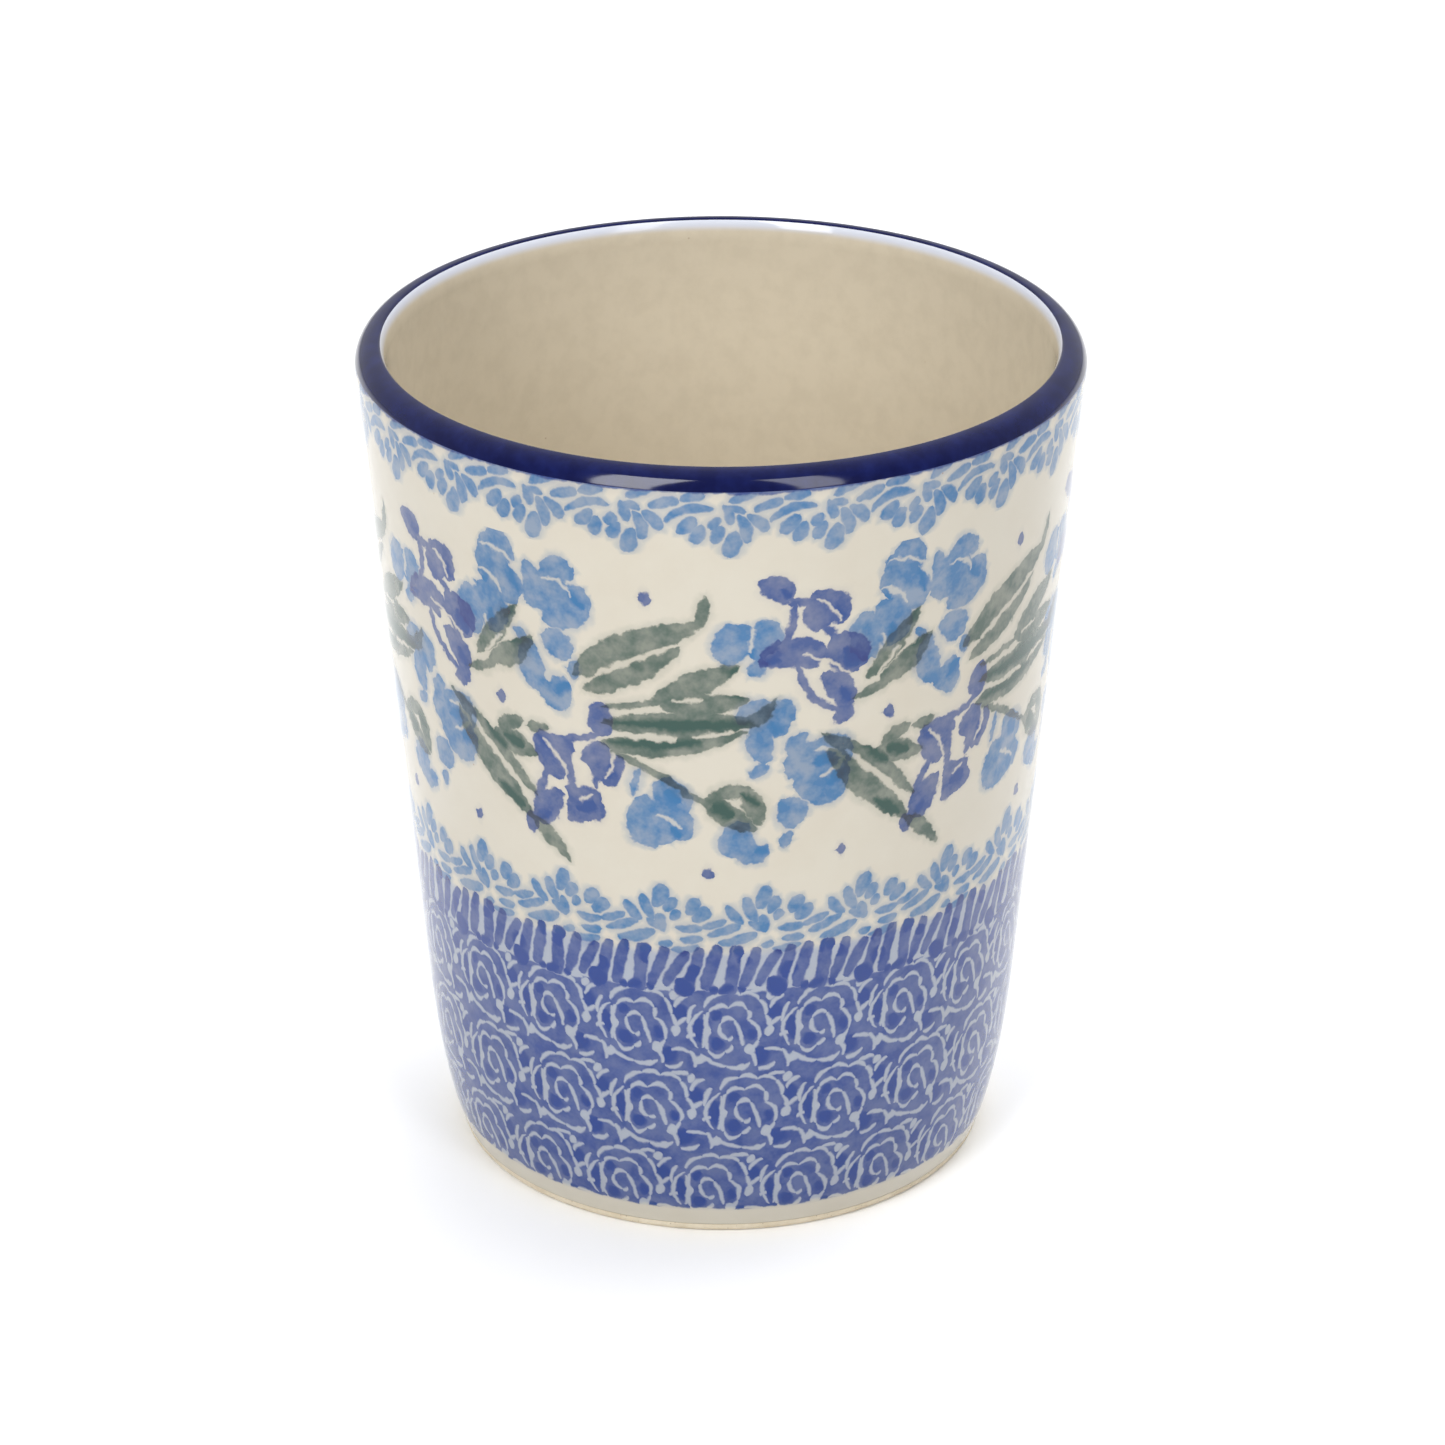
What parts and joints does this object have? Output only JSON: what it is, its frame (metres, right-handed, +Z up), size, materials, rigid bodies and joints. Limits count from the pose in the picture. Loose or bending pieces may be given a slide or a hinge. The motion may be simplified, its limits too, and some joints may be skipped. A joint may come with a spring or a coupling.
{
  "type": "handleless stoneware mug",
  "caption": "Tapered stoneware mug without a handle, glazed inside and out, with a dark rim band, stamped flower bands and an unglazed foot ring.",
  "frame": {"origin": "centre of the foot ring, on the surface the mug stands on", "axes": "+Z up along the mug's own axis; -Y is the side with the middle of one iris motif"},
  "size_m": [0.08, 0.08, 0.0955],
  "materials": {
    "bare_clay": "unglazed, matte, sponged smooth",
    "cobalt_rim": "dark cobalt under clear gloss glaze",
    "upper_garland": "light blue stamps on cream under clear gloss glaze",
    "iris_frieze": "blue, violet and green stamps on cream under clear gloss glaze",
    "lower_garland": "light blue stamps on cream under clear gloss glaze",
    "stripes": "violet blue strokes on cream under clear gloss glaze",
    "rose_field": "violet blue with pale line roses under clear gloss glaze",
    "cream_glaze": "clear gloss glaze over cream clay"
  },
  "bodies": {
    "root": {"stoneware_body": "bare_clay", "rim_band": "cobalt_rim", "upper_garland_band": "upper_garland", "iris_band": "iris_frieze", "lower_garland_band": "lower_garland", "stripe_band": "stripes", "rose_band": "rose_field", "plain_band": "cream_glaze", "interior_glaze": "cream_glaze", "underside_glaze": "cream_glaze"}
  },
  "joints": []
}
